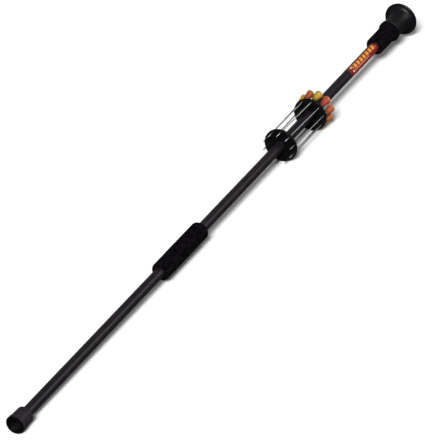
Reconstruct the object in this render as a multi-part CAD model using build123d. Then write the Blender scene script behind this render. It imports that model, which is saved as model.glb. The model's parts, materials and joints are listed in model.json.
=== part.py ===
from build123d import *
import math
import os

# A long straight tube with foam grips, a bell mouthpiece, a rubber muzzle guard and a quiver of darts.
# Frame: the tube's axis is X. x = 0 is the tube's front (muzzle) end, +X runs to the mouthpiece, +Z is up.

# Tube and the printed film round it
TUBE_LENGTH = 914.4
TUBE_OUTER_R = 6.0
TUBE_BORE_R = 5.1
TUBE_EDGE_CHAMFER = 0.3
LABEL_START_X = 777.5
LABEL_THICKNESS = 0.15

# Rubber guard on the front end
GUARD_LENGTH = 21.8
GUARD_FRONT_WALL = 2.4
GUARD_LIP_LENGTH = 5.0
GUARD_LIP_STEP = 0.8
GUARD_LIP_R = 10.5
GUARD_BODY_R = 9.95
GUARD_REAR_R = 9.5
GUARD_MOUTH_R = 7.4
GUARD_SEAT_R = 5.4
GUARD_REAR_ROUNDING = 1.6
GUARD_LIP_ROUNDING = 0.8

# Foam sleeves
FRONT_GRIP_START_X = 308.1
FRONT_GRIP_LENGTH = 91.8
FRONT_GRIP_R = 11.0
REAR_GRIP_START_X = 854.7
REAR_GRIP_R = 11.4
GRIP_ROUNDING = 1.5

# Bell mouthpiece
COLLAR_START_X = 895.5
COLLAR_LENGTH = 3.4
COLLAR_R = 13.7
COLLAR_ROUNDING = 0.6
NECK_R = 12.5
FLARE_START_X = 908.0
LIP_CENTRE_X = 930.6
LIP_ROUND_R = 1.7
LIP_R = 20.85
LIP_FLAT_WIDTH = 1.25
THROAT_R = 5.3
THROAT_END_X = 917.5

# Running clearances
GRIP_CLEARANCE = 0.05
RING_CLEARANCE = 0.06
SOCKET_CLEARANCE = 0.05
REST_GAP = 0.15

# Quiver discs
RING_R = 20.6
RING_THICKNESS = 3.0
RING_EDGE_ROUNDING = 0.7
FRONT_RING_START_X = 599.1
REAR_RING_START_X = 675.8
HUB_R = 8.8
HUB_LENGTH = 8.0
HOLE_R = 1.1

# Darts
DART_COUNT = 10
DART_CIRCLE_R = 18.0
DART_FIRST_ANGLE = 137.8
DART_TWIST = 5.0
WIRE_R = 0.7
WIRE_POINT_LENGTH = 4.0
WIRE_POINT_R = 0.12
TIP_AHEAD_OF_RING = 11.0
CONE_LENGTH = 16.8
CONE_NOSE_R = 2.1
CONE_BASE_R = 4.95
CONE_WALL = 0.7
CONE_PLUG_LENGTH = 7.0
WIRE_IN_CONE = 5.0


def profile_face(points):
    """Closed face in the XZ plane from (x, radius) points joined by straight lines."""
    outline = Polyline([(x, 0, r) for x, r in points], close=True)
    return make_face(outline)


def turned(points):
    """Solid of revolution about the X axis of a profile of (x, radius) points."""
    return revolve(profile_face(points), axis=Axis.X)


def sleeve(start_x, length, outer_r, inner_r):
    """Plain straight sleeve round the X axis."""
    end_x = start_x + length
    return turned([(start_x, inner_r), (end_x, inner_r), (end_x, outer_r), (start_x, outer_r)])


def circle_edges(solid, x, radius):
    """Round edges of a turned solid at one place along the axis and one radius."""
    found = [
        edge
        for edge in solid.edges().filter_by(GeomType.CIRCLE)
        if abs(edge.arc_center.X - x) < 0.01 and abs(edge.radius - radius) < 0.01
    ]
    return found


def make_tube():
    tube = sleeve(0, TUBE_LENGTH, TUBE_OUTER_R, TUBE_BORE_R)
    rims = circle_edges(tube, 0, TUBE_OUTER_R) + circle_edges(tube, TUBE_LENGTH, TUBE_OUTER_R)
    return chamfer(rims, TUBE_EDGE_CHAMFER)


def make_label():
    length = REAR_GRIP_START_X - LABEL_START_X
    return sleeve(LABEL_START_X, length, TUBE_OUTER_R + LABEL_THICKNESS, TUBE_OUTER_R)


def make_muzzle_guard():
    front_x = -GUARD_FRONT_WALL
    lip_end_x = front_x + GUARD_LIP_LENGTH
    rear_x = front_x + GUARD_LENGTH
    socket_r = TUBE_OUTER_R + SOCKET_CLEARANCE
    socket_x = -REST_GAP
    guard = turned(
        [
            (front_x, GUARD_MOUTH_R),
            (front_x, GUARD_LIP_R),
            (lip_end_x, GUARD_LIP_R),
            (lip_end_x + GUARD_LIP_STEP, GUARD_BODY_R),
            (rear_x, GUARD_REAR_R),
            (rear_x, socket_r),
            (socket_x, socket_r),
            (socket_x, GUARD_SEAT_R),
        ]
    )
    guard = fillet(circle_edges(guard, rear_x, GUARD_REAR_R), GUARD_REAR_ROUNDING)
    return fillet(circle_edges(guard, front_x, GUARD_LIP_R), GUARD_LIP_ROUNDING)


def make_grip(start_x, length, outer_r, inner_r):
    """Foam sleeve on the tube with rounded ends."""
    grip = sleeve(start_x, length, outer_r, inner_r)
    ends = circle_edges(grip, start_x, outer_r) + circle_edges(grip, start_x + length, outer_r)
    return fillet(ends, GRIP_ROUNDING)


def make_mouthpiece():
    """Collar behind the rear grip, neck over the tube, flare with a rounded lip, and a funnel to the bore."""
    socket_r = TUBE_OUTER_R + SOCKET_CLEARANCE
    seat_x = TUBE_LENGTH + REST_GAP
    collar_end_x = COLLAR_START_X + COLLAR_LENGTH
    lip_r = LIP_R - LIP_ROUND_R
    lip_back_x = LIP_CENTRE_X - LIP_ROUND_R
    lip_front_x = LIP_CENTRE_X + LIP_ROUND_R
    mouth_r = lip_r - LIP_FLAT_WIDTH
    outline = [
        Line((COLLAR_START_X, 0, socket_r), (COLLAR_START_X, 0, COLLAR_R)),
        Line((COLLAR_START_X, 0, COLLAR_R), (collar_end_x, 0, COLLAR_R)),
        Line((collar_end_x, 0, COLLAR_R), (collar_end_x, 0, NECK_R)),
        Line((collar_end_x, 0, NECK_R), (FLARE_START_X, 0, NECK_R)),
        Bezier(
            (FLARE_START_X, 0, NECK_R),
            (FLARE_START_X + 12.0, 0, NECK_R),
            (lip_back_x, 0, NECK_R + 1.2),
            (lip_back_x, 0, lip_r),
        ),
        ThreePointArc((lip_back_x, 0, lip_r), (LIP_CENTRE_X, 0, LIP_R), (lip_front_x, 0, lip_r)),
        Line((lip_front_x, 0, lip_r), (lip_front_x, 0, mouth_r)),
        Bezier(
            (lip_front_x, 0, mouth_r),
            (lip_front_x - 4.5, 0, mouth_r - 7.5),
            (THROAT_END_X + 3.5, 0, THROAT_R + 0.8),
            (THROAT_END_X, 0, THROAT_R),
        ),
        Line((THROAT_END_X, 0, THROAT_R), (seat_x, 0, THROAT_R)),
        Line((seat_x, 0, THROAT_R), (seat_x, 0, socket_r)),
        Line((seat_x, 0, socket_r), (COLLAR_START_X, 0, socket_r)),
    ]
    bell = revolve(make_face(Wire(outline)), axis=Axis.X)
    rims = circle_edges(bell, COLLAR_START_X, COLLAR_R) + circle_edges(bell, collar_end_x, COLLAR_R)
    return fillet(rims, COLLAR_ROUNDING)


def dart_line(index):
    """The dart's point on the front disc's middle plane, and the unit direction of its wire."""
    front_angle = math.radians(DART_FIRST_ANGLE + index * 360 / DART_COUNT)
    rear_angle = front_angle + math.radians(DART_TWIST)
    ends = []
    for ring_x, angle in ((FRONT_RING_START_X, front_angle), (REAR_RING_START_X, rear_angle)):
        across = DART_CIRCLE_R * math.cos(angle)
        up = DART_CIRCLE_R * math.sin(angle)
        ends.append(Vector(ring_x + RING_THICKNESS / 2, across, up))
    return ends[0], (ends[1] - ends[0]).normalized()


def dart_plane(index, x):
    """Plane across a dart's line where the line passes x; its normal points to the dart's cone."""
    front, direction = dart_line(index)
    origin = front + direction * ((x - front.X) / direction.X)
    return Plane(origin=origin, z_dir=direction)


def make_ring(start_x):
    """Disc with a short hub behind it, bored for the tube and for the darts' wires."""
    end_x = start_x + RING_THICKNESS
    hub_end_x = end_x + HUB_LENGTH
    bore_r = TUBE_OUTER_R + RING_CLEARANCE
    ring = turned(
        [
            (start_x, bore_r),
            (start_x, RING_R),
            (end_x, RING_R),
            (end_x, HUB_R),
            (hub_end_x, HUB_R),
            (hub_end_x, bore_r),
        ]
    )
    edges = circle_edges(ring, start_x, RING_R) + circle_edges(ring, end_x, RING_R)
    ring = fillet(edges, RING_EDGE_ROUNDING)
    for index in range(DART_COUNT):
        ring -= dart_plane(index, start_x + RING_THICKNESS / 2) * Cylinder(HOLE_R, RING_THICKNESS * 3)
    return ring


def spun(outline, plane):
    """Solid turned from (radius, distance) points about the normal of a plane, set in that plane."""
    face = make_face(Polyline([(r, 0, z) for r, z in outline], close=True))
    return plane * revolve(face, axis=Axis.Z)


def make_wire(index):
    """Straight steel wire with a sharpened front end."""
    tip_x = FRONT_RING_START_X - TIP_AHEAD_OF_RING
    length = REAR_RING_START_X + RING_THICKNESS + REST_GAP - tip_x + WIRE_IN_CONE
    outline = [(0, 0), (WIRE_POINT_R, 0), (WIRE_R, WIRE_POINT_LENGTH), (WIRE_R, length), (0, length)]
    return spun(outline, dart_plane(index, tip_x))


def make_cone(index):
    """Hollow cone, open behind, with a solid nose that holds the end of the wire."""
    nose_x = REAR_RING_START_X + RING_THICKNESS + REST_GAP
    wall_slope = (CONE_BASE_R - CONE_NOSE_R) / CONE_LENGTH
    plug_r = CONE_NOSE_R + wall_slope * CONE_PLUG_LENGTH - CONE_WALL
    outline = [
        (WIRE_R, 0),
        (CONE_NOSE_R, 0),
        (CONE_BASE_R, CONE_LENGTH),
        (CONE_BASE_R - CONE_WALL, CONE_LENGTH),
        (plug_r, CONE_PLUG_LENGTH),
        (0, CONE_PLUG_LENGTH),
        (0, WIRE_IN_CONE),
        (WIRE_R, WIRE_IN_CONE),
    ]
    return spun(outline, dart_plane(index, nose_x))


def save(node, solid):
    solid.label = node
    export_step(solid, os.path.join("parts", node + ".step"))


os.makedirs("parts", exist_ok=True)
save("tube", make_tube())
save("label", make_label())
save("muzzle_guard", make_muzzle_guard())
save(
    "front_grip",
    make_grip(FRONT_GRIP_START_X, FRONT_GRIP_LENGTH, FRONT_GRIP_R, TUBE_OUTER_R + GRIP_CLEARANCE),
)
save(
    "rear_grip",
    make_grip(REAR_GRIP_START_X, COLLAR_START_X - REST_GAP - REAR_GRIP_START_X, REAR_GRIP_R, TUBE_OUTER_R),
)
save("mouthpiece", make_mouthpiece())
save("quiver_front_ring", make_ring(FRONT_RING_START_X))
save("quiver_rear_ring", make_ring(REAR_RING_START_X))
for dart in range(DART_COUNT):
    save(f"dart_wire_{dart + 1:02d}", make_wire(dart))
    save(f"dart_cone_{dart + 1:02d}", make_cone(dart))
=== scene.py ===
import json
import math
import bpy
from mathutils import Matrix, Vector, noise


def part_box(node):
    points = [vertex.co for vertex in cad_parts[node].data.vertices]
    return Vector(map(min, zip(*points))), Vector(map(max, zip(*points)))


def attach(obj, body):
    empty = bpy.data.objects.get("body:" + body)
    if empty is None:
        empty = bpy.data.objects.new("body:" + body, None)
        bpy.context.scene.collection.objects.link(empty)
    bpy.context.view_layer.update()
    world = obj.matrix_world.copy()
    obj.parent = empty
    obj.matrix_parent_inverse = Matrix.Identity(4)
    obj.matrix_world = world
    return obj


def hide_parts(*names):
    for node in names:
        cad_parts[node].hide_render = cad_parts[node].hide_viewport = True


# The looks of a blowgun: a black tube with foam grips, a quiver of darts, a rubber guard and a bell mouthpiece.
# The tube's axis is X, and lengths are in metres.

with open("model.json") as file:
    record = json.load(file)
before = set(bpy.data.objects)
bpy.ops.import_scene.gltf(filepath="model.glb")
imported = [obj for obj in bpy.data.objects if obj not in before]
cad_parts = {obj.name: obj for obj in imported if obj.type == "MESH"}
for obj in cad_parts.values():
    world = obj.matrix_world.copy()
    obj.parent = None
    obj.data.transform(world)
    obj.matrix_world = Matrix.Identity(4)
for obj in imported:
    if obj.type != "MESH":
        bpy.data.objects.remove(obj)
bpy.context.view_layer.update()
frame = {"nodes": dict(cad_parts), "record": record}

MM = 0.001

# Camera
AZIMUTH = math.radians(-62.57)
ELEVATION = math.radians(33.2)
TURN = Matrix.Rotation(math.radians(10.6), 3, "X")
DISTANCE = 3.535
LENS = 258.5
AIM = TURN @ Vector((0.42417, -0.00313, -0.00263))

# Light
SKY = 0.26
UNDER_SKY = 0.07
KEY_STRENGTH = 4.7
KEY_TOWARDS = Vector((-1.1, -0.45, 1.0))
KEY_SOFTNESS = math.radians(20)
PANEL_POWER = 7.2
PANEL_CENTRE_X = 1.1
PANEL_LENGTH = 1.2
PANEL_WIDTH = 0.65
PANEL_DISTANCE = 1.0
PANEL_ANGLE = math.radians(32)
FLOOR_HALF = 6.0

# Foam sleeves
FOAM_PITCH = 0.6 * MM
FOAM_ROUNDING = 1.3 * MM
FOAM_FIT = 0.05 * MM
FOAM_FACE_RINGS = 8
FOAM_ROUNDING_RINGS = 7
FOAM_BORE_RINGS = 14

# Printed label
BAR_PITCH = 8.0 * MM
BAR_SHARE = 0.62
BAR_SLANT = 0.4
BAND_LOW = -4.3 * MM
BAND_HIGH = 1.0 * MM
BAND_START = 10.5 * MM
BAND_STOP = 6.0 * MM
LINE_CENTRE = 2.9 * MM
LINE_HALF = 0.75 * MM
LINE_LENGTH = 40 * MM
RULE_CENTRE = 1.5 * MM
RULE_HALF = 0.4 * MM
EDGE_CENTRE = -6.2 * MM
EDGE_HALF = 2.0 * MM
DOT_START = 8.3 * MM
DOT_RADIUS = 1.1 * MM
DOT_PLACES = (2.6 * MM, -3.2 * MM)
DARK_START = 6.0 * MM

# Muzzle guard: where the painted shade in the mouth and on the front face begins and fades
GUARD_INSIDE_R = 8.2 * MM
GUARD_FADE = 1.0 * MM

# Dart cones: painted shade at the nose and a painted warm rim light at the wide end
NOSE_LENGTH = 8.5 * MM
NOSE_DARKNESS = 0.95
RIM_LENGTH = 4 * MM
RIM_SHARE = 0.6


# ---------- small helpers ----------

def radius_of(node):
    """Largest radius of a turned CAD node about the X axis."""
    low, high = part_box(node)
    return (high.y - low.y) / 2


def view_axes():
    """Right, up and back directions of the camera, which is level and then turned a little round the tube."""
    level = math.cos(ELEVATION)
    back = Vector((math.sin(AZIMUTH) * level, -math.cos(AZIMUTH) * level, math.sin(ELEVATION)))
    right = Vector((0, 0, 1)).cross(back).normalized()
    up = back.cross(right)
    return TURN @ right, TURN @ up, TURN @ back


def add(tree, kind, inputs=None, **settings):
    """New shader node with its settings; an input is a number, a colour or another node's output."""
    made = tree.nodes.new("ShaderNode" + kind)
    for key, value in settings.items():
        setattr(made, key, value)
    for key, value in (inputs or {}).items():
        if isinstance(value, bpy.types.NodeSocket):
            tree.links.new(value, made.inputs[key])
        else:
            made.inputs[key].default_value = value
    return made


def maths(tree, operation, first, second=0.0):
    """Output of a two-input math node."""
    return add(tree, "Math", {0: first, 1: second}, operation=operation).outputs[0]


def clouds(tree, size, detail=2.0, stretch=1.0):
    """Noise with features of one size in metres, drawn out along the tube by a factor."""
    place = add(tree, "TexCoord").outputs["Object"]
    spread = add(tree, "Mapping", {"Vector": place, "Scale": (1 / stretch, 1.0, 1.0)})
    made = add(tree, "TexNoise", {"Vector": spread.outputs[0], "Scale": 1 / size, "Detail": detail})
    return made.outputs["Fac"]


def graded(tree, value, low, high, start=0.3, end=0.7):
    """A value's range start..end spread to low..high, held at the ends."""
    inputs = {"Value": value, "From Min": start, "From Max": end, "To Min": low, "To Max": high}
    return add(tree, "MapRange", inputs).outputs[0]


def mixed(tree, share, first, second):
    """Colour between two colours, each given as three numbers or as an output."""
    made = add(tree, "Mix", {0: share}, data_type="RGBA")
    for socket, colour in ((made.inputs[6], first), (made.inputs[7], second)):
        if isinstance(colour, bpy.types.NodeSocket):
            tree.links.new(colour, socket)
        else:
            socket.default_value = (*colour, 1.0)
    return made.outputs[2]


def relief(tree, surface, height, depth, strength=1.0):
    """Bump of one depth in metres on a surface."""
    bump = add(tree, "Bump", {"Height": height, "Distance": depth, "Strength": strength})
    tree.links.new(bump.outputs[0], surface.inputs["Normal"])


def material(name, **sockets):
    """New material with values set on its Principled surface; returns it with its tree and surface."""
    made = bpy.data.materials.new(name)
    made.use_nodes = True
    tree = made.node_tree
    surface = tree.nodes["Principled BSDF"]
    for key, value in sockets.items():
        surface.inputs[key.replace("_", " ")].default_value = value
    return made, tree, surface


# ---------- materials ----------

def tube_coat():
    """Satin black coating with a fine grain and faint lengthwise streaks."""
    made, tree, surface = material("tube_coat", Specular_IOR_Level=0.16)
    streaks = clouds(tree, 0.5 * MM, stretch=60)
    patches = clouds(tree, 9 * MM, detail=4)
    tone = maths(tree, "MULTIPLY", streaks, patches)
    colour = mixed(tree, graded(tree, tone, 0, 1, 0.1, 0.45), (0.0046, 0.0036, 0.0050), (0.0122, 0.0094, 0.0118))
    tree.links.new(colour, surface.inputs["Base Color"])
    tree.links.new(graded(tree, streaks, 0.28, 0.38), surface.inputs["Roughness"])
    relief(tree, surface, clouds(tree, 0.35 * MM), 0.004 * MM)
    return made


def label_film():
    """Glossy red film with a generic print: a band of slanted bars, a pale line, dark margins and two dots."""
    made, tree, surface = material("label_film", Coat_Weight=0.12, Coat_Roughness=0.2, Specular_IOR_Level=0.3)
    right, up, back = view_axes()
    front = Vector((0, back.y, back.z)).normalized()
    side = Vector((1, 0, 0)).cross(front)
    place = add(tree, "TexCoord").outputs["Object"]
    facing = add(tree, "VectorMath", {0: place, 1: front}, operation="DOT_PRODUCT").outputs["Value"]
    across = add(tree, "VectorMath", {0: place, 1: side}, operation="DOT_PRODUCT").outputs["Value"]
    along = add(tree, "SeparateXYZ", {0: place}).outputs[0]
    around = maths(tree, "MULTIPLY", maths(tree, "ARCTAN2", across, facing), radius_of("label"))
    low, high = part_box("label")

    def strip(value, centre, half):
        """1 within a strip, 0 outside it."""
        made = maths(tree, "COMPARE", value, centre)
        made.node.inputs[2].default_value = half
        return made

    def between(start, stop):
        """1 over part of the tube's length, 0 elsewhere."""
        return strip(along, (start + stop) / 2, (stop - start) / 2)

    slanted = maths(tree, "ADD", along, maths(tree, "MULTIPLY", around, BAR_SLANT))
    phase = maths(tree, "FRACT", maths(tree, "DIVIDE", slanted, BAR_PITCH))
    bars = maths(tree, "LESS_THAN", phase, BAR_SHARE)
    printed = between(low.x + BAND_START, high.x - BAND_STOP)
    band = maths(tree, "MULTIPLY", printed, strip(around, (BAND_LOW + BAND_HIGH) / 2, (BAND_HIGH - BAND_LOW) / 2))
    line_along = between(low.x + BAND_START, low.x + BAND_START + LINE_LENGTH)
    line = maths(tree, "MULTIPLY", line_along, strip(around, LINE_CENTRE, LINE_HALF))
    rule = maths(tree, "MULTIPLY", printed, strip(around, RULE_CENTRE, RULE_HALF))
    edge = maths(tree, "MULTIPLY", printed, strip(around, EDGE_CENTRE, EDGE_HALF))

    ink = graded(tree, clouds(tree, 1.2 * MM, detail=3), 0, 1)
    ground = mixed(tree, ink, (0.10, 0.0055, 0.004), (0.155, 0.011, 0.008))
    start_fade = graded(tree, along, 1, 0, low.x, low.x + DARK_START)
    stop_fade = graded(tree, along, 0, 1, high.x - BAND_STOP, high.x - BAND_STOP / 3)
    margin = maths(tree, "MAXIMUM", start_fade, stop_fade)
    colour = mixed(tree, margin, ground, (0.035, 0.004, 0.004))
    colour = mixed(tree, edge, colour, (0.09, 0.026, 0.003))
    colour = mixed(tree, rule, colour, (0.10, 0.012, 0.004))
    colour = mixed(tree, line, colour, (0.35, 0.12, 0.08))
    colour = mixed(tree, band, colour, (0.12, 0.028, 0.002))
    warm = mixed(tree, ink, (0.36, 0.115, 0.014), (0.60, 0.235, 0.048))
    colour = mixed(tree, maths(tree, "MULTIPLY", band, bars), colour, warm)
    for height in DOT_PLACES:
        dot_x = maths(tree, "SUBTRACT", along, low.x + DOT_START)
        dot_y = maths(tree, "SUBTRACT", around, height)
        reach = maths(tree, "ADD", maths(tree, "POWER", dot_x, 2.0), maths(tree, "POWER", dot_y, 2.0))
        colour = mixed(tree, maths(tree, "LESS_THAN", reach, DOT_RADIUS ** 2), colour, (0.9, 0.62, 0.55))
    tree.links.new(colour, surface.inputs["Base Color"])
    tree.links.new(graded(tree, ink, 0.32, 0.44), surface.inputs["Roughness"])
    relief(tree, surface, clouds(tree, 3 * MM), 0.03 * MM)
    return made


def guard_rubber():
    """Matt black rubber with a slight grey bloom outside; the mouth and the front face carry painted shade, near
    black and barely reflective.
    """
    made, tree, surface = material("guard_rubber")
    place = add(tree, "SeparateXYZ", {0: add(tree, "TexCoord").outputs["Object"]})
    along, side, height = place.outputs
    squares = maths(tree, "ADD", maths(tree, "POWER", side, 2.0), maths(tree, "POWER", height, 2.0))
    radius = maths(tree, "SQRT", squares)
    # Painted shade: the mouth and the front face are made near black and nearly unreflective, standing in for
    # shade.
    inside = graded(tree, radius, 1, 0, GUARD_INSIDE_R, GUARD_INSIDE_R + GUARD_FADE)
    face_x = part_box("muzzle_guard")[0].x
    on_face = graded(tree, along, 1, 0, face_x + GUARD_FADE / 2, face_x + GUARD_FADE)
    painted_shade = maths(tree, "MAXIMUM", inside, on_face)
    bloom = clouds(tree, 3 * MM, detail=7)
    colour = mixed(tree, graded(tree, bloom, 0, 1, 0.3, 0.7), (0.0040, 0.0028, 0.0042), (0.0200, 0.0150, 0.0212))
    # Painted shade colour for the mouth and the front face.
    colour = mixed(tree, painted_shade, colour, (0.0015, 0.0015, 0.0016))
    tree.links.new(colour, surface.inputs["Base Color"])
    tree.links.new(graded(tree, bloom, 0.5, 0.66), surface.inputs["Roughness"])
    # The painted shade also takes away most of the reflection there.
    tree.links.new(graded(tree, painted_shade, 0.2, 0.04, 0, 1), surface.inputs["Specular IOR Level"])
    relief(tree, surface, clouds(tree, 0.4 * MM, detail=4), 0.04 * MM)
    return made


def grip_foam():
    """Near-black closed-cell foam: small cells with walls between them, dull all over, with painted shade
    darkening each cell's hollow.
    """
    made, tree, surface = material("grip_foam", Specular_IOR_Level=0.02)
    place = add(tree, "TexCoord").outputs["Object"]
    cells = add(tree, "TexVoronoi", {"Vector": place, "Scale": 1 / (0.8 * MM)}).outputs["Distance"]
    soft = clouds(tree, 4 * MM, detail=6)
    # Painted shade: the colour darkens towards each cell's middle, where the bump sinks.
    tone = maths(tree, "MULTIPLY", graded(tree, cells, 0.05, 1, 0.1, 0.6), graded(tree, soft, 0.12, 1, 0.38, 0.68))
    colour = mixed(tree, tone, (0.0002, 0.0001, 0.0002), (0.0066, 0.0053, 0.0069))
    tree.links.new(colour, surface.inputs["Base Color"])
    tree.links.new(graded(tree, soft, 0.86, 1.0), surface.inputs["Roughness"])
    relief(tree, surface, cells, 0.2 * MM, 0.8)
    return made


def bell_plastic():
    """Polished black moulded plastic with fine handling marks."""
    made, tree, surface = material("bell_plastic", Specular_IOR_Level=0.165)
    marks = clouds(tree, 1.5 * MM, detail=6)
    colour = mixed(tree, marks, (0.0008, 0.0007, 0.0012), (0.0036, 0.0031, 0.0042))
    tree.links.new(colour, surface.inputs["Base Color"])
    tree.links.new(graded(tree, marks, 0.34, 0.46), surface.inputs["Roughness"])
    relief(tree, surface, clouds(tree, 5 * MM), 0.02 * MM)
    return made


def quiver_plastic():
    """Satin black moulded plastic with a fine spark-eroded grain."""
    made, tree, surface = material("quiver_plastic", Specular_IOR_Level=0.09)
    grain = clouds(tree, 0.3 * MM, detail=3)
    patches = clouds(tree, 6 * MM, detail=3)
    colour = mixed(tree, patches, (0.0008, 0.0007, 0.0010), (0.0030, 0.0026, 0.0032))
    tree.links.new(colour, surface.inputs["Base Color"])
    tree.links.new(graded(tree, patches, 0.32, 0.45), surface.inputs["Roughness"])
    relief(tree, surface, grain, 0.015 * MM)
    return made


def wire_steel():
    """Drawn steel wire, bright, with streaks along it."""
    made, tree, surface = material("wire_steel", Metallic=1.0, Anisotropic=0.3)
    drawn = clouds(tree, 0.08 * MM, detail=3, stretch=80)
    stains = clouds(tree, 5 * MM, detail=4)
    colour = mixed(tree, stains, (0.54, 0.54, 0.56), (0.72, 0.72, 0.74))
    tree.links.new(colour, surface.inputs["Base Color"])
    tree.links.new(graded(tree, drawn, 0.2, 0.3), surface.inputs["Roughness"])
    relief(tree, surface, drawn, 0.004 * MM)
    return made


def cone_plastic(name, dark, light):
    """Slightly translucent coloured plastic with flow marks, with painted shade at the nose and a painted warm
    glow of light at the thin rim.
    """
    made, tree, surface = material(name, Subsurface_Weight=0.1, Subsurface_Scale=0.002, Specular_IOR_Level=0.35)
    flow = clouds(tree, 1.6 * MM, detail=4, stretch=3)
    along = add(tree, "SeparateXYZ", {0: add(tree, "TexCoord").outputs["Object"]}).outputs[0]
    low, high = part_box("dart_cone_01")
    colour = mixed(tree, graded(tree, flow, 0, 1), dark, light)
    # Painted shade: the colour darkens towards the nose.
    nose = graded(tree, along, NOSE_DARKNESS, 0, low.x, low.x + NOSE_LENGTH)
    colour = mixed(tree, nose, colour, (0.02, 0.012, 0.01))
    # Painted rim light: a pale warm colour towards the thin rim stands in for light through the plastic.
    rim = graded(tree, along, 0, RIM_SHARE, high.x - RIM_LENGTH, high.x)
    colour = mixed(tree, rim, colour, (0.36, 0.15, 0.06))
    tree.links.new(colour, surface.inputs["Base Color"])
    tree.links.new(graded(tree, flow, 0.34, 0.48), surface.inputs["Roughness"])
    relief(tree, surface, clouds(tree, 0.7 * MM, detail=3), 0.02 * MM)
    return made


CONE_TONES = {
    "cone_red": ((0.195, 0.021, 0.007), (0.29, 0.037, 0.013)),
    "cone_orange": ((0.175, 0.035, 0.004), (0.26, 0.060, 0.011)),
    "cone_amber": ((0.195, 0.045, 0.005), (0.28, 0.072, 0.013)),
    "cone_yellow": ((0.235, 0.152, 0.006), (0.35, 0.235, 0.018)),
}


def make_materials():
    """Every material, by the name of the record's slot it stands for."""
    made = {
        "tube_coat": tube_coat(),
        "label_film": label_film(),
        "guard_rubber": guard_rubber(),
        "grip_foam": grip_foam(),
        "bell_plastic": bell_plastic(),
        "quiver_plastic": quiver_plastic(),
        "wire_steel": wire_steel(),
    }
    for name, (dark, light) in CONE_TONES.items():
        made[name] = cone_plastic(name, dark, light)
    return made


def dress_nodes(materials):
    """Gives each CAD node the material of its slot."""
    for part in frame["record"]["subparts"]:
        for place in frame["nodes"][part["node"]].material_slots:
            place.material = materials[part["material_slot"]]


# ---------- foam sleeves ----------

def line_points(start, end, count):
    """Points from start up to, but not including, end."""
    (x0, r0), (x1, r1) = start, end
    return [(x0 + (x1 - x0) * i / count, r0 + (r1 - r0) * i / count) for i in range(count)]


def arc_points(centre, radius, from_angle, count):
    """Quarter turn of points, the last one left out."""
    x, r = centre
    angles = [from_angle - math.pi / 2 * i / count for i in range(count)]
    return [(x + radius * math.cos(a), r + radius * math.sin(a)) for a in angles]


def sleeve_profile(start_x, end_x, bore_r, outer_r):
    """Closed loop of (x, radius) points round a sleeve's wall: outside, end, bore and other end."""
    turn = FOAM_ROUNDING
    outer_count = round((end_x - start_x) / FOAM_PITCH)
    points = arc_points((start_x + turn, outer_r - turn), turn, math.pi, FOAM_ROUNDING_RINGS)
    points += line_points((start_x + turn, outer_r), (end_x - turn, outer_r), outer_count)
    points += arc_points((end_x - turn, outer_r - turn), turn, math.pi / 2, FOAM_ROUNDING_RINGS)
    points += line_points((end_x, outer_r - turn), (end_x, bore_r), FOAM_FACE_RINGS)
    points += line_points((end_x, bore_r), (start_x, bore_r), FOAM_BORE_RINGS)
    points += line_points((start_x, bore_r), (start_x, outer_r - turn), FOAM_FACE_RINGS)
    return points


def foam_depth(point, seed):
    """How far the foam's skin lies below its full size: slow dents, small hollows and open cells."""
    shift = Vector((seed, 0, 0))
    slow = 0.5 + 0.5 * noise.noise(point / (14 * MM) + shift)
    small = 0.5 + 0.5 * noise.noise(point / (3 * MM) + shift)
    cell = max(0.0, noise.noise(point / (0.9 * MM) + shift))
    return (0.16 * slow + 0.09 * small + 0.14 * cell) * MM


def foam_sleeve(name, node, body, seed):
    """Soft foam sleeve that stands for a plain CAD grip."""
    low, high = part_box(node)
    outer_r = radius_of(node)
    bore_r = radius_of("tube") + FOAM_FIT
    profile = sleeve_profile(low.x, high.x, bore_r, outer_r)
    count = round(2 * math.pi * outer_r / FOAM_PITCH)
    middle_x = (low.x + high.x) / 2
    vertices = []
    for x, r in profile:
        skin = min(1.0, (r - bore_r) / (outer_r - bore_r) * 1.6)
        for i in range(count):
            angle = 2 * math.pi * i / count
            point = Vector((x, r * math.cos(angle), r * math.sin(angle)))
            depth = foam_depth(point, seed) * skin
            inward = Vector((math.copysign(0.35, middle_x - x), 0, 0))
            outward = Vector((0, math.cos(angle), math.sin(angle)))
            on_end = abs(x - middle_x) > (high.x - low.x) / 2 - FOAM_ROUNDING
            vertices.append(point - outward * depth + (inward * depth if on_end else Vector()))
    faces = []
    for ring in range(len(profile)):
        after = (ring + 1) % len(profile)
        for i in range(count):
            j = (i + 1) % count
            faces.append((ring * count + i, ring * count + j, after * count + j, after * count + i))
    mesh = bpy.data.meshes.new(name)
    mesh.from_pydata(vertices, [], faces)
    mesh.validate()
    mesh.shade_smooth()
    sleeve = bpy.data.objects.new(name, mesh)
    bpy.context.scene.collection.objects.link(sleeve)
    mesh.materials.append(materials["grip_foam"])
    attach(sleeve, body)
    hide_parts(node)
    return sleeve


# ---------- stage ----------

def floor_height():
    """Height of the floor at x = 0 and its slope: the object lies on the guard's lip and on its lowest cones."""
    guard_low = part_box("muzzle_guard")[0]
    cones = [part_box(name) for name in frame["nodes"] if name.startswith("dart_cone")]
    low, high = min(cones, key=lambda pair: pair[0].z)
    slope = (low.z - guard_low.z) / high.x
    return guard_low.z, slope


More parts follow.
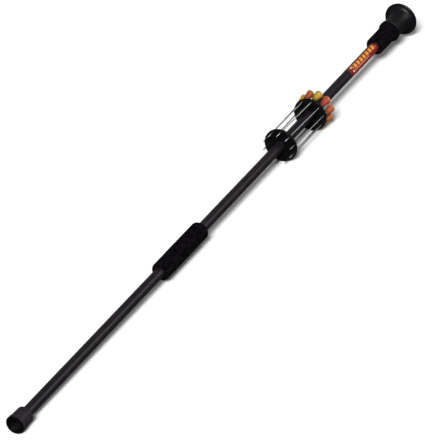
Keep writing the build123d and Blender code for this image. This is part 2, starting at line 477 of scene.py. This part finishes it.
def make_floor():
    """Plain white floor under the object."""
    height, slope = floor_height()
    corners = [(x, y, height + slope * x) for x, y in
               ((-FLOOR_HALF, -FLOOR_HALF), (FLOOR_HALF, -FLOOR_HALF), (FLOOR_HALF, FLOOR_HALF),
                (-FLOOR_HALF, FLOOR_HALF))]
    mesh = bpy.data.meshes.new("floor")
    mesh.from_pydata(corners, [], [(0, 1, 2, 3)])
    floor = bpy.data.objects.new("floor", mesh)
    bpy.context.scene.collection.objects.link(floor)
    made, tree, surface = material("floor_white", Roughness=0.9, Specular_IOR_Level=0.0)
    surface.inputs["Base Color"].default_value = (0.92, 0.92, 0.92, 1.0)
    mesh.materials.append(made)
    floor.visible_glossy = False
    return floor


def place_light(data, position, towards):
    """Adds a light that shines back along a direction."""
    lamp = bpy.data.objects.new(data.name, data)
    lamp.rotation_mode = "QUATERNION"
    lamp.rotation_quaternion = towards.to_track_quat("Z", "Y")
    lamp.location = position
    bpy.context.scene.collection.objects.link(lamp)
    return lamp


def make_key():
    """Distant soft key light, high and in front of the muzzle."""
    data = bpy.data.lights.new("key_light", "SUN")
    data.energy = KEY_STRENGTH
    data.angle = KEY_SOFTNESS
    place_light(data, AIM + KEY_TOWARDS.normalized() * 2, KEY_TOWARDS)


def make_panel(floor):
    """Long soft panel beside the tube, kept off the floor; its reflection fades towards the mouthpiece."""
    outward = Vector((0, -math.cos(PANEL_ANGLE), math.sin(PANEL_ANGLE)))
    data = bpy.data.lights.new("sheen_panel", "AREA")
    data.energy = PANEL_POWER
    data.shape = "RECTANGLE"
    data.size = PANEL_LENGTH
    data.size_y = PANEL_WIDTH
    place = Vector((PANEL_CENTRE_X, 0, 0)) + outward * PANEL_DISTANCE
    lamp = place_light(data, place, outward)
    lamp.rotation_quaternion = Matrix((Vector((1, 0, 0)), outward.cross(Vector((1, 0, 0))), outward)
                                      ).transposed().to_quaternion()
    lamp.visible_camera = False
    unlit = bpy.data.collections.new("out_of_the_panel")
    unlit.objects.link(floor)
    unlit.collection_objects[0].light_linking.link_state = "EXCLUDE"
    lamp.light_linking.receiver_collection = unlit


def make_lights(floor):
    """Even sky, dim below the horizon and white only to the camera, with the key light and the panel."""
    world = bpy.data.worlds.new("studio")
    bpy.context.scene.world = world
    world.use_nodes = True
    tree = world.node_tree
    plain = tree.nodes["Background"]
    direction = add(tree, "TexCoord").outputs["Generated"]
    upward = add(tree, "SeparateXYZ", {0: direction}).outputs[2]
    tree.links.new(graded(tree, upward, UNDER_SKY, SKY, -0.1, 0.1), plain.inputs["Strength"])
    plain.inputs["Color"].default_value = (1, 1, 1, 1)
    seen = add(tree, "Background", {"Color": (1, 1, 1, 1), "Strength": 1.0})
    camera_ray = add(tree, "LightPath").outputs["Is Camera Ray"]
    both = add(tree, "MixShader", {0: camera_ray, 1: plain.outputs[0], 2: seen.outputs[0]})
    tree.links.new(both.outputs[0], tree.nodes["World Output"].inputs[0])
    make_key()
    make_panel(floor)


def make_camera():
    """Long lens from the front of the tube."""
    right, up, back = view_axes()
    data = bpy.data.cameras.new("camera")
    data.lens = LENS
    data.sensor_width = 36
    data.clip_end = 50
    camera = bpy.data.objects.new("camera", data)
    pose = Matrix((right, up, back)).transposed().to_4x4()
    pose.translation = AIM + back * DISTANCE
    camera.matrix_world = pose
    bpy.context.scene.collection.objects.link(camera)
    bpy.context.scene.camera = camera


make_camera()
make_lights(make_floor())
materials = make_materials()
dress_nodes(materials)
foam_sleeve("front_grip_foam", "front_grip", "front_grip", 3.7)
foam_sleeve("rear_grip_foam", "rear_grip", "barrel", 11.2)
bpy.context.scene.view_settings.view_transform = "Standard"

bpy.context.view_layer.update()
